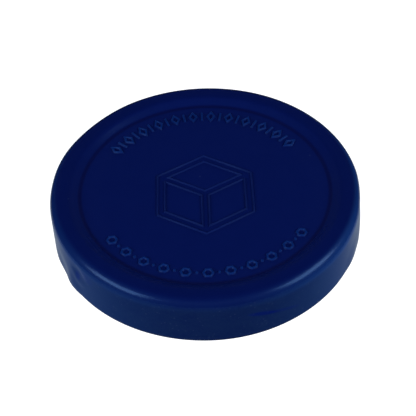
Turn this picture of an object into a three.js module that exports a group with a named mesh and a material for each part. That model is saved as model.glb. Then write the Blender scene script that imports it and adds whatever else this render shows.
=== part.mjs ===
// A bottle base bumper: a shallow silicone cup that stretches over the foot of a round bottle.
// It lies mouth down, as it is stored. +Z is up through its foot face, on which the bottle stands in use,
// and the origin is the centre of the mouth. Sizes are millimetres and degrees.
import * as THREE from "three";

// The cup
const socketDiameter = 75; // the bottle's foot, which the wall grips
const wallThickness = 2.5;
const overallHeight = 13.8;
const floorThickness = 4; // under the standing rim
const shoulderRadius = 2.8; // outer corner between the wall and the foot face
const lipRounding = 0.6; // both corners of the mouth's edge
const socketFillet = 1.5; // inner corner between the wall and the floor

// The foot face: a standing rim round a shallow recess
const rimWidth = 7.7; // from the outside of the wall to the foot of the slope
const slopeWidth = 2.2; // the soft step from the rim down into the recess
const recessDepth = 1.7;

// The raised marks, which stand on the floor of the recess and stay below the rim
const markRelief = 0.4;
const markStroke = 0.7;
const markMargin = 2; // from the foot of the slope to the marks
const markGap = 0.7; // along the arc
const lozengeWidth = 2.8;
const lozengeHeight = 4.6;
const barHeight = 3.2;
const lozengeCount = 12; // with a bar between neighbours
const hexagonWidth = 3.2; // corner to corner, along the arc
const dotDiameter = 0.9;
const hexagonCount = 11; // with a dot between neighbours

// The emblem: a cube seen corner on, as one hexagonal frame and the outlines of three faces
const emblemRadius = 14.4; // centre to corner
const emblemShift = 1.8; // towards the lower arc
const emblemStroke = 0.6;
const emblemGap = 1.3; // between neighbouring outlines

// Facets
const turnFacets = 72; // round the cup
const cornerFacets = 6; // along the shoulder and the slope
const smallFacets = 3; // along the lip's corners and the socket's fillet
const dotFacets = 16;

const socketRadius = socketDiameter / 2;
const outerRadius = socketRadius + wallThickness;
const seatHeight = overallHeight - floorThickness; // where the bottle's foot rests
const recessRadius = outerRadius - rimWidth;
const recessHeight = overallHeight - recessDepth;
const markEdgeRadius = recessRadius - markMargin; // outer edge of both arcs of marks
const hexagonSides = 6;
const upperMiddle = 90; // the direction, seen from the centre, of the middle of each arc of marks
const lowerMiddle = 270;

const silicone = new THREE.MeshStandardMaterial({ color: 0x0a1d55, roughness: 0.55, metalness: 0 });
const raisedSilicone = new THREE.MeshStandardMaterial({ color: 0x123066, roughness: 0.6, metalness: 0 });

const part = new THREE.Group();

function addMesh(parent, name, geometry, material) {
  const mesh = new THREE.Mesh(geometry, material);
  mesh.name = name;
  parent.add(mesh);
  return mesh;
}

// The points of a quarter round, without its first point, which the outline already holds.
function corner(centreX, centreY, radius, startDegrees, endDegrees, facets) {
  const start = THREE.MathUtils.degToRad(startDegrees);
  const end = THREE.MathUtils.degToRad(endDegrees);
  const arc = new THREE.EllipseCurve(centreX, centreY, radius, radius, start, end, end < start);
  return arc.getPoints(facets).slice(1);
}

// Half of the cup's section, as (radius, height), from the floor of the recess round to the seat.
function cupSection() {
  const slopeTop = recessRadius + slopeWidth;
  const slopeMiddle = recessRadius + slopeWidth / 2;
  const slope = new THREE.CubicBezierCurve(
    new THREE.Vector2(recessRadius, recessHeight),
    new THREE.Vector2(slopeMiddle, recessHeight),
    new THREE.Vector2(slopeMiddle, overallHeight),
    new THREE.Vector2(slopeTop, overallHeight),
  );
  const shoulderCentre = outerRadius - shoulderRadius;
  const lipCentre = outerRadius - lipRounding;
  const innerLipCentre = socketRadius + lipRounding;
  return [
    new THREE.Vector2(0, recessHeight),
    ...slope.getPoints(cornerFacets),
    new THREE.Vector2(shoulderCentre, overallHeight),
    ...corner(shoulderCentre, overallHeight - shoulderRadius, shoulderRadius, 90, 0, cornerFacets),
    new THREE.Vector2(outerRadius, lipRounding),
    ...corner(lipCentre, lipRounding, lipRounding, 0, -90, smallFacets),
    new THREE.Vector2(innerLipCentre, 0),
    ...corner(innerLipCentre, lipRounding, lipRounding, -90, -180, smallFacets),
    new THREE.Vector2(socketRadius, seatHeight - socketFillet),
    ...corner(socketRadius - socketFillet, seatHeight - socketFillet, socketFillet, 0, 90, smallFacets),
    new THREE.Vector2(0, seatHeight),
  ];
}

function addCup() {
  const cup = new THREE.LatheGeometry(cupSection().reverse(), turnFacets);
  cup.rotateX(Math.PI / 2);
  addMesh(part, "bumper_shell", cup, silicone);
}

// A convex outline moved inwards by a distance, corner by corner. The corners run anticlockwise.
function inset(corners, distance) {
  return corners.map((point, i) => {
    const before = corners.at(i - 1);
    const after = corners[(i + 1) % corners.length];
    const arriving = point.clone().sub(before).normalize();
    const leaving = after.clone().sub(point).normalize();
    const bisector = leaving.clone().sub(arriving).normalize();
    const halfAngleSine = Math.abs(bisector.cross(leaving));
    return point.clone().addScaledVector(bisector, distance / halfAngleSine);
  });
}

// A closed band of the stroke's width just inside a convex outline.
function outlineBand(corners, stroke) {
  const band = new THREE.Shape(corners);
  band.holes.push(new THREE.Path(inset(corners, stroke)));
  return band;
}

function raise(shape) {
  return new THREE.ExtrudeGeometry(shape, { depth: markRelief, bevelEnabled: false, curveSegments: dotFacets / 2 });
}

function lozenge() {
  return outlineBand([
    new THREE.Vector2(lozengeWidth / 2, 0),
    new THREE.Vector2(0, lozengeHeight / 2),
    new THREE.Vector2(-lozengeWidth / 2, 0),
    new THREE.Vector2(0, -lozengeHeight / 2),
  ], markStroke);
}

function bar() {
  return new THREE.Shape([
    new THREE.Vector2(markStroke / 2, -barHeight / 2),
    new THREE.Vector2(markStroke / 2, barHeight / 2),
    new THREE.Vector2(-markStroke / 2, barHeight / 2),
    new THREE.Vector2(-markStroke / 2, -barHeight / 2),
  ]);
}

function hexagonCorners(radius, firstDegrees) {
  return Array.from({ length: hexagonSides }, (_, i) => {
    const angle = THREE.MathUtils.degToRad(firstDegrees + i * 360 / hexagonSides);
    return new THREE.Vector2(radius * Math.cos(angle), radius * Math.sin(angle));
  });
}

function dot() {
  return new THREE.Shape().absarc(0, 0, dotDiameter / 2, 0, 2 * Math.PI);
}

// Two kinds of mark, taking turns along an arc of the recess floor, centred on a direction.
function addArc(major, minor, majorCount, radius, middleDegrees) {
  const marks = Array.from({ length: 2 * majorCount - 1 }, (_, i) => ({
    kind: i % 2 ? minor : major,
    number: Math.floor(i / 2) + 1,
  }));
  const arcLength = marks.reduce((sum, mark) => sum + mark.kind.width + markGap, -markGap);
  let along = -arcLength / 2;
  for (const { kind, number } of marks) {
    const turn = (along + kind.width / 2) / radius;
    const angle = THREE.MathUtils.degToRad(middleDegrees) - turn;
    const name = kind.name + "_" + String(number).padStart(2, "0");
    const mesh = addMesh(part, name, raise(kind.shape), raisedSilicone);
    mesh.position.set(radius * Math.cos(angle), radius * Math.sin(angle), recessHeight);
    mesh.rotation.z = angle - Math.PI / 2;
    along += kind.width + markGap;
  }
}

function addUpperArc() {
  const major = { name: "upper_lozenge", width: lozengeWidth, shape: lozenge() };
  const minor = { name: "upper_bar", width: markStroke, shape: bar() };
  addArc(major, minor, lozengeCount, markEdgeRadius - lozengeHeight / 2, upperMiddle);
}

function addLowerArc() {
  const hexagon = outlineBand(hexagonCorners(hexagonWidth / 2, 0), markStroke);
  const acrossFlats = hexagonWidth * Math.cos(Math.PI / hexagonSides);
  const major = { name: "lower_hexagon", width: hexagonWidth, shape: hexagon };
  const minor = { name: "lower_dot", width: dotDiameter, shape: dot() };
  addArc(major, minor, hexagonCount, markEdgeRadius - acrossFlats / 2, lowerMiddle);
}

function addEmblem() {
  const frame = hexagonCorners(emblemRadius, 180 / hexagonSides);
  const emblem = new THREE.Group();
  emblem.position.set(0, -emblemShift, recessHeight);
  part.add(emblem);
  addMesh(emblem, "emblem_frame", raise(outlineBand(frame, emblemStroke)), raisedSilicone);
  const cube = inset(frame, emblemStroke + emblemGap / 2);
  const centre = new THREE.Vector2(0, 0);
  const faces = {
    emblem_face_top: [cube[0], cube[1], cube[2], centre],
    emblem_face_left: [centre, cube[2], cube[3], cube[4]],
    emblem_face_right: [centre, cube[4], cube[5], cube[0]],
  };
  for (const [name, corners] of Object.entries(faces)) {
    const outline = outlineBand(inset(corners, emblemGap / 2), emblemStroke);
    addMesh(emblem, name, raise(outline), raisedSilicone);
  }
}

addCup();
addUpperArc();
addLowerArc();
addEmblem();

export default part;
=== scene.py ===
"""A bottle base bumper: a navy silicone boot for the foot of a bottle, lying mouth down on a pale floor.

Metres, +Z up through the foot face, with the origin at the centre of the open mouth.
"""
import math

import bmesh
import bpy
from mathutils import Matrix, Quaternion, Vector


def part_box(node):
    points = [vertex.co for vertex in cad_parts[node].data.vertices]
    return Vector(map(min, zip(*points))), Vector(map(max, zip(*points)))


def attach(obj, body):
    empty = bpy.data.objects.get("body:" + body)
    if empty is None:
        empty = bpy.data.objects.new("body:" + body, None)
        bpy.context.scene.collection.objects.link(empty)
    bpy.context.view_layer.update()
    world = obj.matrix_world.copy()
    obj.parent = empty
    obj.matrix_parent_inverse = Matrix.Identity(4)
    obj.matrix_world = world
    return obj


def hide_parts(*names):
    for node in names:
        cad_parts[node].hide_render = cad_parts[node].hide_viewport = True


MM = 0.001

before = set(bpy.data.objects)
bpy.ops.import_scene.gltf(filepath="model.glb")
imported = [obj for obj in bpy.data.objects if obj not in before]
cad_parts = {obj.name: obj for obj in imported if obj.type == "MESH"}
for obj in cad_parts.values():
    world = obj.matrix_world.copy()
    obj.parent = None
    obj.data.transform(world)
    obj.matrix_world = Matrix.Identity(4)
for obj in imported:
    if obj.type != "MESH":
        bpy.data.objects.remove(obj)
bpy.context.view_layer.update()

# ---------------------------------------------------------------- the boot's own sizes

shell_low, shell_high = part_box("bumper_shell")
OUTER_RADIUS = shell_high.x
HEIGHT = shell_high.z

WALL = 2.5 * MM
FLOOR_THICKNESS = 4 * MM  # under the standing rim
SHOULDER_RADIUS = 2.8 * MM
LIP_ROUNDING = 0.25 * MM
SOCKET_FILLET = 1.5 * MM
SEAT_HEIGHT = HEIGHT - FLOOR_THICKNESS
SOCKET_RADIUS = OUTER_RADIUS - WALL

RECESS_FOOT = OUTER_RADIUS - 7.45 * MM  # where the slope's straight part meets the recess
RECESS_EDGE = OUTER_RADIUS - 5.3 * MM  # where it meets the standing rim
EDGE_ROUNDING = 1.0 * MM  # along the surface, on both sides of the rim's inner edge
FOOT_ROUNDING = 0.5 * MM  # and of the slope's foot
RECESS_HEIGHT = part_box("emblem_frame")[0].z
RECESS_DEPTH = HEIGHT - RECESS_HEIGHT

TURN_STEPS = 256
SHOULDER_STEPS = 12
EDGE_STEPS = 6
FOOT_STEPS = 4
LIP_STEPS = 5
FILLET_STEPS = 6
RECESS_RINGS = 5  # cut into the floor of the recess
SEAT_RINGS = 2  # and into the bottle's seat
WALL_BANDS = 12  # between the mouth's edge and the shoulder
CUP_SHARP_ANGLE = math.radians(40)  # edges that turn by more than this aren't shaded smooth
MARK_SHARP_ANGLE = math.radians(50)
LEVEL = 0.9  # the upright share of a face's normal, above which the face counts as level
TOUCH = 0.05 * MM  # how near a point lies to a size to count as being on it
SAME_POINT = 0.001 * MM  # points nearer to each other than this are joined

# ---------------------------------------------------------------- modelling by hand


def deselect_everything():
    if bpy.context.mode != "OBJECT":
        bpy.ops.object.mode_set(mode="OBJECT")
    bpy.ops.object.select_all(action="DESELECT")


def edit(piece):
    deselect_everything()
    bpy.context.view_layer.objects.active = piece
    piece.select_set(True)
    bpy.ops.object.mode_set(mode="EDIT")


def pick(kind, wanted):
    """Selects, of the piece in edit mode, only the FACE, EDGE or VERT elements that are wanted."""
    bpy.ops.mesh.select_mode(type=kind)
    bpy.ops.mesh.select_all(action="DESELECT")
    mesh = bpy.context.edit_object.data
    shape = bmesh.from_edit_mesh(mesh)
    elements = {"FACE": shape.faces, "EDGE": shape.edges, "VERT": shape.verts}[kind]
    for element in elements:
        if wanted(element):
            element.select_set(True)
    shape.select_flush_mode()
    bmesh.update_edit_mesh(mesh)


def finish_editing(piece, name):
    bpy.ops.mesh.select_all(action="SELECT")
    bpy.ops.mesh.remove_doubles(threshold=SAME_POINT)
    bpy.ops.mesh.normals_make_consistent(inside=False)
    bpy.ops.object.mode_set(mode="OBJECT")
    bpy.ops.object.transform_apply(location=True, rotation=True, scale=True)
    piece.name = name
    piece.data.name = name
    return piece


def radius_of(point):
    return math.hypot(point.x, point.y)


def on_ring(edge, radius, height):
    """Whether an edge lies on the circle of a radius and a height."""
    return all(
        abs(radius_of(v.co) - radius) < TOUCH and abs(v.co.z - height) < TOUCH
        for v in edge.verts
    )


def bevel_ring(radius, height, width, segments):
    pick("EDGE", lambda edge: on_ring(edge, radius, height))
    bpy.ops.mesh.bevel(offset=width, segments=segments, affect="EDGES", clamp_overlap=True)


# ---------------------------------------------------------------- the cup


def model_shell():
    deselect_everything()
    bpy.ops.mesh.primitive_cylinder_add(
        vertices=TURN_STEPS, radius=OUTER_RADIUS, depth=HEIGHT, location=(0, 0, HEIGHT / 2)
    )
    shell = bpy.context.object
    bpy.ops.object.transform_apply(location=True, rotation=False, scale=False)
    edit(shell)
    shape_foot_face()
    shape_socket()
    round_edges()
    ring_wall()
    soften_wall()
    finish_editing(shell, "cup_shell")
    bpy.ops.object.shade_smooth_by_angle(angle=CUP_SHARP_ANGLE)
    return shell


def shape_foot_face():
    """Insets the top into a flat standing rim, a slope and a sunk floor with rings for a soft surface."""
    pick("FACE", lambda face: face.normal.z > LEVEL)
    bpy.ops.mesh.inset(thickness=OUTER_RADIUS - RECESS_EDGE)
    bpy.ops.mesh.inset(thickness=RECESS_EDGE - RECESS_FOOT, depth=-RECESS_DEPTH)
    for _ in range(RECESS_RINGS):
        bpy.ops.mesh.inset(thickness=RECESS_FOOT / (RECESS_RINGS + 1))
    bpy.ops.mesh.poke()


def shape_socket():
    """Hollows the socket for the bottle's foot out of the bottom."""
    pick("FACE", lambda face: face.normal.z < -LEVEL)
    bpy.ops.mesh.inset(thickness=WALL)
    bpy.ops.mesh.extrude_region_move(TRANSFORM_OT_translate={"value": (0, 0, SEAT_HEIGHT)})
    for _ in range(SEAT_RINGS):
        bpy.ops.mesh.inset(thickness=SOCKET_RADIUS / (SEAT_RINGS + 1))
    bpy.ops.mesh.poke()


def round_edges():
    bevel_ring(OUTER_RADIUS, HEIGHT, SHOULDER_RADIUS, SHOULDER_STEPS)
    bevel_ring(RECESS_EDGE, HEIGHT, EDGE_ROUNDING, EDGE_STEPS)
    bevel_ring(RECESS_FOOT, RECESS_HEIGHT, FOOT_ROUNDING, FOOT_STEPS)
    bevel_ring(OUTER_RADIUS, 0, LIP_ROUNDING, LIP_STEPS)
    bevel_ring(SOCKET_RADIUS, 0, LIP_ROUNDING, LIP_STEPS)
    bevel_ring(SOCKET_RADIUS, SEAT_HEIGHT, SOCKET_FILLET, FILLET_STEPS)


def ring_wall():
    """Cuts rings into the tall wall, so that it can bend softly."""
    low = LIP_ROUNDING
    high = HEIGHT - SHOULDER_RADIUS
    for i in range(1, WALL_BANDS):
        height = low + (high - low) * i / WALL_BANDS
        bpy.ops.mesh.select_all(action="SELECT")
        bpy.ops.mesh.bisect(plane_co=(0, 0, height), plane_no=(0, 0, 1))


MOVED_WHOLE = 1.2 * MM  # points this near to a soft place move by its full distance
# Soft places in the wall: the direction in degrees, the height, how far it moves out, and its reach.
SOFT_PLACES = (
    (350, 1.5 * MM, 0.33 * MM, 9 * MM),
    (337, 1.0 * MM, 0.20 * MM, 5 * MM),
    (280, 0.5 * MM, 0.11 * MM, 20 * MM),
    (352, 11.5 * MM, -0.15 * MM, 5 * MM),
    (359, 12.5 * MM, -0.11 * MM, 4 * MM),
    (203, 2.5 * MM, -0.32 * MM, 5 * MM),
    (211, 1.0 * MM, 0.26 * MM, 4 * MM),
    (138, 12 * MM, -0.17 * MM, 12 * MM),
    (161, 12 * MM, 0.13 * MM, 10 * MM),
    (216.5, 8.2 * MM, -0.38 * MM, 2.2 * MM),
    (216.5, 6.0 * MM, 0.10 * MM, 1.8 * MM),
    (288, 7.6 * MM, -0.10 * MM, 3 * MM),
)


def soften_wall():
    """Pushes and pulls the wall a little, as a soft moulding lies."""
    for degrees, height, push, reach in SOFT_PLACES:
        angle = math.radians(degrees)
        out = Vector((math.cos(angle), math.sin(angle), 0))
        place = out * OUTER_RADIUS + Vector((0, 0, height))
        pick("VERT", lambda vert: (vert.co - place).length < MOVED_WHOLE)
        bpy.ops.transform.translate(
            value=out * push,
            use_proportional_edit=True,
            proportional_edit_falloff="SMOOTH",
            proportional_size=reach,
        )


# ---------------------------------------------------------------- the raised marks

MARK_SINK = 0.1 * MM  # how far a mark's root goes into the floor of the recess
MARK_STROKE = 0.7 * MM
LOZENGE_WIDTH = 2.8 * MM
LOZENGE_HEIGHT = 4.6 * MM
BAR_HEIGHT = 3.2 * MM
HEXAGON_WIDTH = 3.2 * MM
DOT_DIAMETER = 0.9 * MM
DOT_CORNERS = 20
EMBLEM_STROKE = 0.5 * MM
# A mark's section as steps inwards and up: the flare at its root, its side and its softened top.
MARK_STEPS = ((0.07 * MM, 0.06 * MM), (0.03 * MM, 0.22 * MM), (0.10 * MM, 0.12 * MM))


def size_of(node):
    low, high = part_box(node)
    return high - low


def centre_of(node):
    low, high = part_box(node)
    return (low + high) / 2


def flat_outline(corners, width, depth, turn=0.0):
    """Starts a mark as a flat shape with corners on an ellipse, sunk a little into the recess."""
    deselect_everything()
    bpy.ops.mesh.primitive_circle_add(
        vertices=corners, radius=1, fill_type="NGON", location=(0, 0, 0)
    )
    piece = bpy.context.object
    edit(piece)
    bpy.ops.mesh.select_all(action="SELECT")
    bpy.ops.transform.rotate(value=turn, orient_axis="Z", center_override=(0, 0, 0))
    bpy.ops.transform.resize(value=(width / 2, depth / 2, 1), center_override=(0, 0, 0))
    bpy.ops.transform.translate(value=(0, 0, RECESS_HEIGHT - MARK_SINK))
    return piece


def cut_to_outline(stroke):
    """Leaves only a band along the edge of a flat shape."""
    bpy.ops.mesh.inset(thickness=stroke, use_even_offset=True)
    bpy.ops.mesh.delete(type="FACE")


def raise_mark(piece, name):
    """Raises a flat shape off the recess, with a flared root and a softened top."""
    pick("FACE", lambda face: True)
    bpy.ops.mesh.normals_make_consistent(inside=False)
    shape = bmesh.from_edit_mesh(piece.data)
    if any(face.normal.z < 0 for face in shape.faces):
        bpy.ops.mesh.flip_normals()
    bpy.ops.mesh.extrude_region_move(TRANSFORM_OT_translate={"value": (0, 0, MARK_SINK)})
    for inwards, up in MARK_STEPS:
        bpy.ops.mesh.inset(thickness=inwards, depth=up, use_boundary=True, use_even_offset=True)
    finish_editing(piece, name)
    bpy.ops.object.shade_smooth_by_angle(angle=MARK_SHARP_ANGLE)
    return piece


def model_lozenge():
    piece = flat_outline(4, LOZENGE_WIDTH, LOZENGE_HEIGHT)
    cut_to_outline(MARK_STROKE)
    return raise_mark(piece, "lozenge")


def model_hexagon():
    piece = flat_outline(6, HEXAGON_WIDTH, HEXAGON_WIDTH, turn=math.radians(90))
    cut_to_outline(MARK_STROKE)
    return raise_mark(piece, "hexagon")


def model_bar():
    """A square turned by an eighth and then stretched, so that its sides are the bar's."""
    diagonal = math.sqrt(2)
    piece = flat_outline(4, MARK_STROKE * diagonal, BAR_HEIGHT * diagonal, turn=math.radians(45))
    return raise_mark(piece, "bar")


def model_dot():
    piece = flat_outline(DOT_CORNERS, DOT_DIAMETER, DOT_DIAMETER)
    return raise_mark(piece, "dot")


def model_emblem_frame():
    height = size_of("emblem_frame").y
    piece = flat_outline(6, height, height)
    cut_to_outline(EMBLEM_STROKE)
    return raise_mark(piece, "emblem_outline")


def model_emblem_face():
    size = size_of("emblem_face_top")
    piece = flat_outline(4, size.x, size.y)
    cut_to_outline(EMBLEM_STROKE)
    return raise_mark(piece, "emblem_rhombus")


def copy_of(master, name, place):
    piece = master.copy()
    piece.data = master.data.copy()
    piece.data.transform(place)
    piece.name = name
    piece.data.name = name
    bpy.context.collection.objects.link(piece)
    return piece


def place_on_arc(node):
    """The place of a mark that stands on an arc, with its top pointing away from the centre."""
    centre = centre_of(node)
    turn = math.atan2(centre.y, centre.x) - math.pi / 2
    return Matrix.Translation((centre.x, centre.y, 0)) @ Matrix.Rotation(turn, 4, "Z")


def add_mark(master, node, place):
    piece = copy_of(master, "raised_" + node, place)
    piece.data.materials.append(raised_finish)
    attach(piece, "root")
    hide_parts(node)


def remove(piece):
    bpy.data.meshes.remove(piece.data)


def add_arc_marks():
    masters = {
        "upper_lozenge_": model_lozenge(),
        "upper_bar_": model_bar(),
        "lower_hexagon_": model_hexagon(),
        "lower_dot_": model_dot(),
    }
    for start, master in masters.items():
        for node in sorted(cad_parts):
            if node.startswith(start):
                add_mark(master, node, place_on_arc(node))
        remove(master)


def add_emblem():
    centre = centre_of("emblem_frame")
    to_emblem = Matrix.Translation((centre.x, centre.y, 0))
    outline = model_emblem_frame()
    add_mark(outline, "emblem_frame", to_emblem)
    remove(outline)
    rhombus = model_emblem_face()
    above = Matrix.Translation((0, centre_of("emblem_face_top").y - centre.y, 0))
    faces = {"emblem_face_top": 0, "emblem_face_left": 120, "emblem_face_right": 240}
    for node, degrees in faces.items():
        turn = Matrix.Rotation(math.radians(degrees), 4, "Z")
        add_mark(rhombus, node, to_emblem @ turn @ above)
    remove(rhombus)


# ---------------------------------------------------------------- finishes


class Wire:
    """An output socket that takes part in sums: an expression on wires adds its Math nodes."""

    def __init__(self, shading, socket):
        self.shading = shading
        self.socket = socket

    def math(self, operation, *values):
        return self.shading.node("ShaderNodeMath", {"operation": operation}, dict(enumerate(values)))

    def __add__(self, other):
        return self.math("ADD", self, other)

    def __sub__(self, other):
        return self.math("SUBTRACT", self, other)

    def __rsub__(self, other):
        return self.math("SUBTRACT", other, self)

    def __mul__(self, other):
        return self.math("MULTIPLY", self, other)

    def __truediv__(self, other):
        return self.math("DIVIDE", self, other)

    def __pow__(self, other):
        return self.math("POWER", self, other)

    __radd__ = __add__
    __rmul__ = __mul__


# Where a colour mix keeps its factor, its two colours and its result among its sockets.
MIX_FACTOR = 0
MIX_FIRST = 6
MIX_SECOND = 7
MIX_RESULT = 2


class Shading:
    """The nodes of a material or of the world."""

    def __init__(self, owner):
        owner.use_nodes = True
        self.tree = owner.node_tree
        self.tree.nodes.clear()

    def node(self, kind, settings=None, sockets=None, output=0):
        """Adds a node, with its settings first and then the values or wires of its sockets."""
        made = self.tree.nodes.new(kind)
        for key, value in (settings or {}).items():
            setattr(made, key, value)
        for key, value in (sockets or {}).items():
            if isinstance(value, Wire):
                self.tree.links.new(value.socket, made.inputs[key])
            else:
                made.inputs[key].default_value = value
        return Wire(self, made.outputs[output]) if made.outputs else made

    def axis(self, vector, name):
        return self.node("ShaderNodeSeparateXYZ", sockets={"Vector": vector}, output=name)

    def rise(self, value, start, end, steadiness="SMOOTHSTEP"):
        """0 at start and 1 at end, with a smooth rise between, or a steady one if it is LINEAR."""
        settings = {"interpolation_type": steadiness}
        sockets = {"Value": value, "From Min": start, "From Max": end}
        return self.node("ShaderNodeMapRange", settings, sockets)

    def mix(self, amount, first, second):
        """The first colour turning into the second as the amount goes from 0 to 1."""
        settings = {"data_type": "RGBA"}
        sockets = {MIX_FACTOR: amount, MIX_FIRST: first, MIX_SECOND: second}
        return self.node("ShaderNodeMix", settings, sockets, output=MIX_RESULT)

    def ramp(self, value, stops):
        """The colours of the stops, each at its position, as the value goes from 0 to 1."""
        wire = self.node("ShaderNodeValToRGB", sockets={"Fac": value}, output="Color")
        elements = wire.socket.node.color_ramp.elements
        for position, glow in stops:
            elements.new(position).color = glow
        elements.remove(elements[-1])
        elements.remove(elements[0])
        return wire


class Finish(Shading):
    """A material made of nodes, on Object coordinates."""

    def __init__(self, name):
        self.material = bpy.data.materials.new(name)
        super().__init__(self.material)
        self.place = self.node("ShaderNodeTexCoord", output="Object")
        self.x, self.y, self.z = (self.axis(self.place, name) for name in "XYZ")

    def radius(self):
        return (self.x ** 2 + self.y ** 2) ** 0.5

    def noise(self, features_per_metre, detail):
        sockets = {"Vector": self.place, "Scale": features_per_metre, "Detail": detail}
        return self.node("ShaderNodeTexNoise", sockets=sockets, output="Fac")

    def surface(self, shader, **sockets):
        wire = self.node(shader, sockets={key.replace("_", " "): value for key, value in sockets.items()})
        self.node("ShaderNodeOutputMaterial", sockets={"Surface": wire})


def colour(red, green, blue):
    return (red, green, blue, 1.0)


NAVY = colour(0.0014, 0.0052, 0.060)
NAVY_DEEP = colour(0.0010, 0.0042, 0.051)
# painted shade, the dark line in the crease along the slope's foot
PAINTED_CREASE_SHADE = colour(0.0016, 0.0034, 0.040)
# the blue where the haze is rubbed off, also used as painted shade over the dent in the wall
POLISHED_AND_DENT_SHADE = colour(0.0006, 0.0050, 0.100)
RAISED_NAVY = colour(0.0012, 0.0140, 0.100)
HAZE = colour(0.010, 0.028, 0.075)
# painted sheen, a lighter blue on the shoulder towards the softboxes
PAINTED_SHOULDER_SHEEN = colour(0.006, 0.030, 0.140)
DUST = colour(0.16, 0.21, 0.32)
BLUE_GLINT = colour(0.22, 0.50, 1.0)
SILICONE_IOR = 1.41
SOFT_GLOSS = 0.28
RELIEF_STRENGTH = 0.1
RELIEF_DEPTH = 0.05 * MM

# Noise in the silicone: its features per metre and its detail.
CLOUDS = (160, 4)
MOTTLE = (1300, 3)
GRAIN = (5200, 2)
# Dust: its specks per metre, their size as a share of their spacing, and the noise they gather above.
FINE_DUST = (900, 0.12, 0.45)
COARSE_DUST = (330, 0.05, 0.6)
# The lighter finish of the arcs' marks sets in between these radii, outside nearly all of the emblem.
ARCS_START = 16 * MM
ARCS_FULL = 22 * MM

# Where the haze on the wall is rubbed off, and, in the two rows near 216 and 221 degrees, painted shade
# over and beside the dent in the wall: the direction in degrees, the height, half the length round the
# wall, half the width, how far the streak climbs for its length, and its strength.
RUBBED_AND_DENT_SHADE = (
    (288.5, 7.0 * MM, 4.0 * MM, 0.75 * MM, -0.24, 0.8),
    (297, 5.6 * MM, 4.6 * MM, 0.6 * MM, -0.26, 0.5),
    (216, 7.2 * MM, 1.1 * MM, 1.7 * MM, 0.0, 0.6),
    (221, 9.3 * MM, 3.0 * MM, 1.8 * MM, 0.0, 0.4),
)


def rubbed_off_and_dent_shade(finish):
    """Each streak's strength in its middle, falling to 0 away from it."""
    # The angle from +X is negative on the front half, where the streaks are, hence the full turn less.
    around = finish.y.math("ARCTAN2", finish.y, finish.x) * OUTER_RADIUS
    total = 0
    for degrees, height, length, width, climb, strength in RUBBED_AND_DENT_SHADE:
        along = around - math.radians(degrees - 360) * OUTER_RADIUS
        across = finish.z - height - along * climb
        away = (along / length) ** 2 + (across / width) ** 2
        total = total + strength * (1 - finish.rise(away, 0.25, 1.3))
    return total


def specks(finish, per_metre, size, gathering):
    """Pale specks of a size, a share of their spacing, that lie only where a soft noise is high."""
    sockets = {"Vector": finish.place, "Scale": per_metre}
    nearest = finish.node("ShaderNodeTexVoronoi", sockets=sockets, output="Distance")
    gathered = finish.rise(finish.noise(per_metre * 0.8, 1), gathering, gathering + 0.08)
    return gathered * (1 - finish.rise(nearest, size, 2 * size))


def silicone(finish, base, roughness, relief):
    """The shader of the silicone, which all its finishes share."""
    bump = {"Height": relief, "Strength": RELIEF_STRENGTH, "Distance": RELIEF_DEPTH}
    finish.surface(
        "ShaderNodeBsdfPrincipled",
        Base_Color=base,
        Roughness=roughness,
        Normal=finish.node("ShaderNodeBump", sockets=bump, output="Normal"),
        IOR=SILICONE_IOR,
        Specular_IOR_Level=SOFT_GLOSS,
        Specular_Tint=BLUE_GLINT,
    )
    return finish.material


def silicone_finish():
    finish = Finish("navy_silicone")
    radius = finish.radius()
    cloud = finish.noise(*CLOUDS)
    fine = finish.noise(*MOTTLE)
    grain = finish.noise(*GRAIN)

    # The wall, up to where it turns into the shoulder.
    wall = finish.rise(radius, OUTER_RADIUS - 1.0 * MM, OUTER_RADIUS - 0.15 * MM)
    wall = wall * finish.rise(finish.z, HEIGHT - 1.1 * MM, HEIGHT - 2.8 * MM)
    haze = wall * (0.30 + 0.35 * (cloud - 0.5) + 0.6 * (fine - 0.5))

    # Painted sheen on the shoulder, and a little on the wall: lighter towards -X and lightest towards +X,
    # on the sides where the softboxes stand.
    shoulder = finish.rise(radius, OUTER_RADIUS - 2.2 * MM, OUTER_RADIUS - 0.6 * MM)
    shoulder = shoulder * finish.rise(finish.z, HEIGHT - 4.0 * MM, HEIGHT - 2.4 * MM)
    sheen_towards_lamps = 0.12 + 0.35 * finish.rise(finish.x, -0.1 * OUTER_RADIUS, -0.6 * OUTER_RADIUS)
    sheen_towards_lamps = sheen_towards_lamps + finish.rise(finish.x, 0.15 * OUTER_RADIUS, 0.95 * OUTER_RADIUS)
    painted_sheen = sheen_towards_lamps * (0.6 * shoulder + 0.14 * wall) + 0.03 * wall

    dust = 0.08 * wall * specks(finish, *FINE_DUST)
    dust = dust + (0.05 + 0.5 * wall) * specks(finish, *COARSE_DUST)

    # The recess with its slope, and painted shade: a dark line along the slope's foot, where the crease
    # lies in shade.
    recess = finish.rise(radius, RECESS_EDGE + 0.3 * MM, RECESS_EDGE - 0.6 * MM)
    crease_shade = finish.rise(radius, RECESS_FOOT - 1.1 * MM, RECESS_FOOT - 0.5 * MM)
    crease_shade = crease_shade * finish.rise(radius, RECESS_FOOT + 0.5 * MM, RECESS_FOOT - 0.1 * MM)

    base = finish.mix(0.8 * recess + 0.8 * wall + 0.2 * finish.rise(cloud, 0.3, 0.7), NAVY_DEEP, NAVY)
    base = finish.mix(crease_shade, base, PAINTED_CREASE_SHADE)
    base = finish.mix(haze, base, HAZE)
    base = finish.mix(painted_sheen, base, PAINTED_SHOULDER_SHEEN)
    base = finish.mix(wall * rubbed_off_and_dent_shade(finish), base, POLISHED_AND_DENT_SHADE)
    base = finish.mix(dust, base, DUST)
    roughness = 0.24 + 0.12 * wall + 0.06 * (fine - 0.5)
    relief = (0.3 + 0.7 * wall) * (0.5 * grain + 0.5 * fine)
    return silicone(finish, base, roughness, relief)


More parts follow.
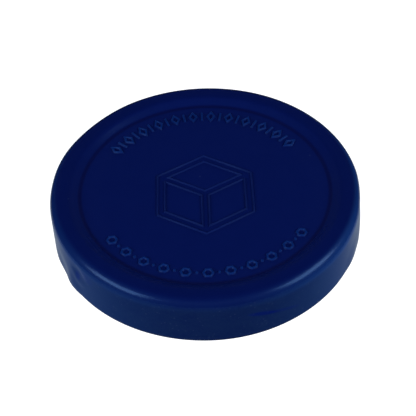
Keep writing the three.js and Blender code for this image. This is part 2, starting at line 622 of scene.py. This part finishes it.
def raised_silicone_finish():
    finish = Finish("raised_navy_silicone")
    fine = finish.noise(*MOTTLE)
    top = finish.rise(finish.z, RECESS_HEIGHT + 0.1 * MM, RECESS_HEIGHT + 0.38 * MM)
    arcs = finish.rise(finish.radius(), ARCS_START, ARCS_FULL)
    lightness = top * (0.05 + 0.95 * arcs) * (0.8 + 0.5 * (fine - 0.5))
    roughness = 0.62 - 0.16 * arcs + 0.08 * (fine - 0.5)
    return silicone(finish, finish.mix(lightness, NAVY, RAISED_NAVY), roughness, fine)


# ---------------------------------------------------------------- camera, light and floor

CAMERA_ELEVATION = 45.3
CAMERA_ROLL = -2.34
CAMERA_DISTANCE = 8 * OUTER_RADIUS
CAMERA_LENS = 106.2
CAMERA_SENSOR = 36
NEAREST_SEEN = 0.01
CAMERA_SHIFT = (0.0061, -0.0116)
MIDDLE = Vector((0, 0, HEIGHT / 2))
FRONT = -90  # the camera's side of the boot


def aim(thing, degrees, elevation, distance, roll=0.0):
    """Puts a camera or a light round the boot, facing it, with angles in degrees from +X and the floor."""
    azimuth = math.radians(degrees)
    rise = math.radians(elevation)
    level = math.cos(rise)
    back = Vector((math.cos(azimuth) * level, math.sin(azimuth) * level, math.sin(rise)))
    thing.location = MIDDLE + back * distance
    thing.rotation_mode = "QUATERNION"
    turn = Quaternion((0, 0, 1), math.radians(roll))
    thing.rotation_quaternion = (-back).to_track_quat("-Z", "Y") @ turn
    bpy.context.collection.objects.link(thing)


def add_camera():
    data = bpy.data.cameras.new("camera")
    data.lens = CAMERA_LENS
    data.sensor_width = CAMERA_SENSOR
    data.shift_x, data.shift_y = CAMERA_SHIFT
    data.clip_start = NEAREST_SEEN
    camera = bpy.data.objects.new("camera", data)
    aim(camera, FRONT, CAMERA_ELEVATION, CAMERA_DISTANCE, CAMERA_ROLL)
    bpy.context.scene.camera = camera


LAMP_POWER = 4  # of a square metre of lamp, for each unit of its radiance
# The lamps: name, direction and elevation in degrees, distance, width and height in metres, radiance,
# and whether glossy rays see them.
LAMPS = (
    ("left_softbox", 208, 27, 0.7, 0.44, 0.29, 6.9, True),
    ("right_softbox", -19, 33, 0.7, 0.42, 0.33, 6.2, True),
    ("front_fill", FRONT, 38, 1.2, 1.3, 0.7, 2.6, False),
    ("back_fill", 90, 11, 1.2, 2.4, 0.9, 1.5, False),
)


def add_lamps():
    """Adds rectangular softboxes, and fills that are kept out of glossy rays."""
    for name, degrees, elevation, distance, width, height, radiance, glossy in LAMPS:
        data = bpy.data.lights.new(name, "AREA")
        data.shape = "RECTANGLE"
        data.size = width
        data.size_y = height
        data.energy = radiance * LAMP_POWER * width * height
        lamp = bpy.data.objects.new(name, data)
        lamp.visible_camera = False
        lamp.visible_glossy = glossy
        aim(lamp, degrees, elevation, distance)


WHITE = colour(1, 1, 1)
DARK_ROOM = colour(0.001, 0.012, 0.030)
# The table's glow, from the front, at 0, to the back, at 1.
TABLE_GLOW = (
    (0.15, colour(0.01, 0.05, 0.07)),
    (0.44, colour(0.10, 0.27, 0.62)),
    (0.60, colour(0.17, 0.35, 0.78)),
    (0.72, colour(0.30, 0.44, 0.77)),
    (0.80, colour(0.72, 0.85, 0.93)),
)
HORIZON_TILT = 0.4  # the far edge of the table lies lower than its near edge
HORIZON = (-0.35, 0.0)  # the upright parts of a direction between which the table turns into the room
FOOT_SHADE = colour(0.002, 0.01, 0.03)  # straight below the wall, where the table lies in shade
SHADE_FADE = (-0.97, -0.80)  # the upright parts of a direction between which that shade fades out


def add_world():
    """A dark room over a pale table, which the camera itself sees as white all round."""
    world = bpy.data.worlds.new("studio")
    sky = Shading(world)
    direction = sky.node("ShaderNodeTexCoord", output="Generated")
    y = sky.axis(direction, "Y")
    z = sky.axis(direction, "Z")
    table = sky.ramp(sky.rise(y, -1, 1, "LINEAR"), TABLE_GLOW)
    table = sky.mix(sky.rise(z, *SHADE_FADE, "LINEAR"), FOOT_SHADE, table)
    horizon = sky.rise(y * HORIZON_TILT + z, *HORIZON, "LINEAR")
    room = sky.mix(horizon, table, DARK_ROOM)
    camera_ray = sky.node("ShaderNodeLightPath", output="Is Camera Ray")
    seen = sky.mix(camera_ray, room, WHITE)
    background = sky.node("ShaderNodeBackground", sockets={"Color": seen})
    sky.node("ShaderNodeOutputWorld", sockets={"Surface": background})
    bpy.context.scene.world = world


FLOOR_RADIUS = 5
FLOOR_GAP = 0.02 * MM  # below the mouth, so that the two don't lie in one plane
FLOOR_GREY = colour(0.25, 0.25, 0.25)


def add_floor():
    """A floor that glows white, hidden from diffuse and glossy rays, which see the table instead."""
    deselect_everything()
    bpy.ops.mesh.primitive_circle_add(radius=FLOOR_RADIUS, fill_type="NGON", location=(0, 0, -FLOOR_GAP))
    floor = bpy.context.object
    floor.name = "white_floor"
    finish = Finish("white_floor")
    finish.surface(
        "ShaderNodeBsdfPrincipled",
        Base_Color=FLOOR_GREY,
        Roughness=1.0,
        Specular_IOR_Level=0.0,
        Emission_Color=WHITE,
        Emission_Strength=1.0,
    )
    floor.data.materials.append(finish.material)
    floor.visible_glossy = False
    floor.visible_diffuse = False


# ---------------------------------------------------------------- assembly

bpy.context.scene.view_settings.view_transform = "Standard"
add_camera()
add_lamps()
add_world()
add_floor()

raised_finish = raised_silicone_finish()
shell = model_shell()
shell.data.materials.append(silicone_finish())
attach(shell, "root")
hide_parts("bumper_shell")
add_arc_marks()
add_emblem()
deselect_everything()
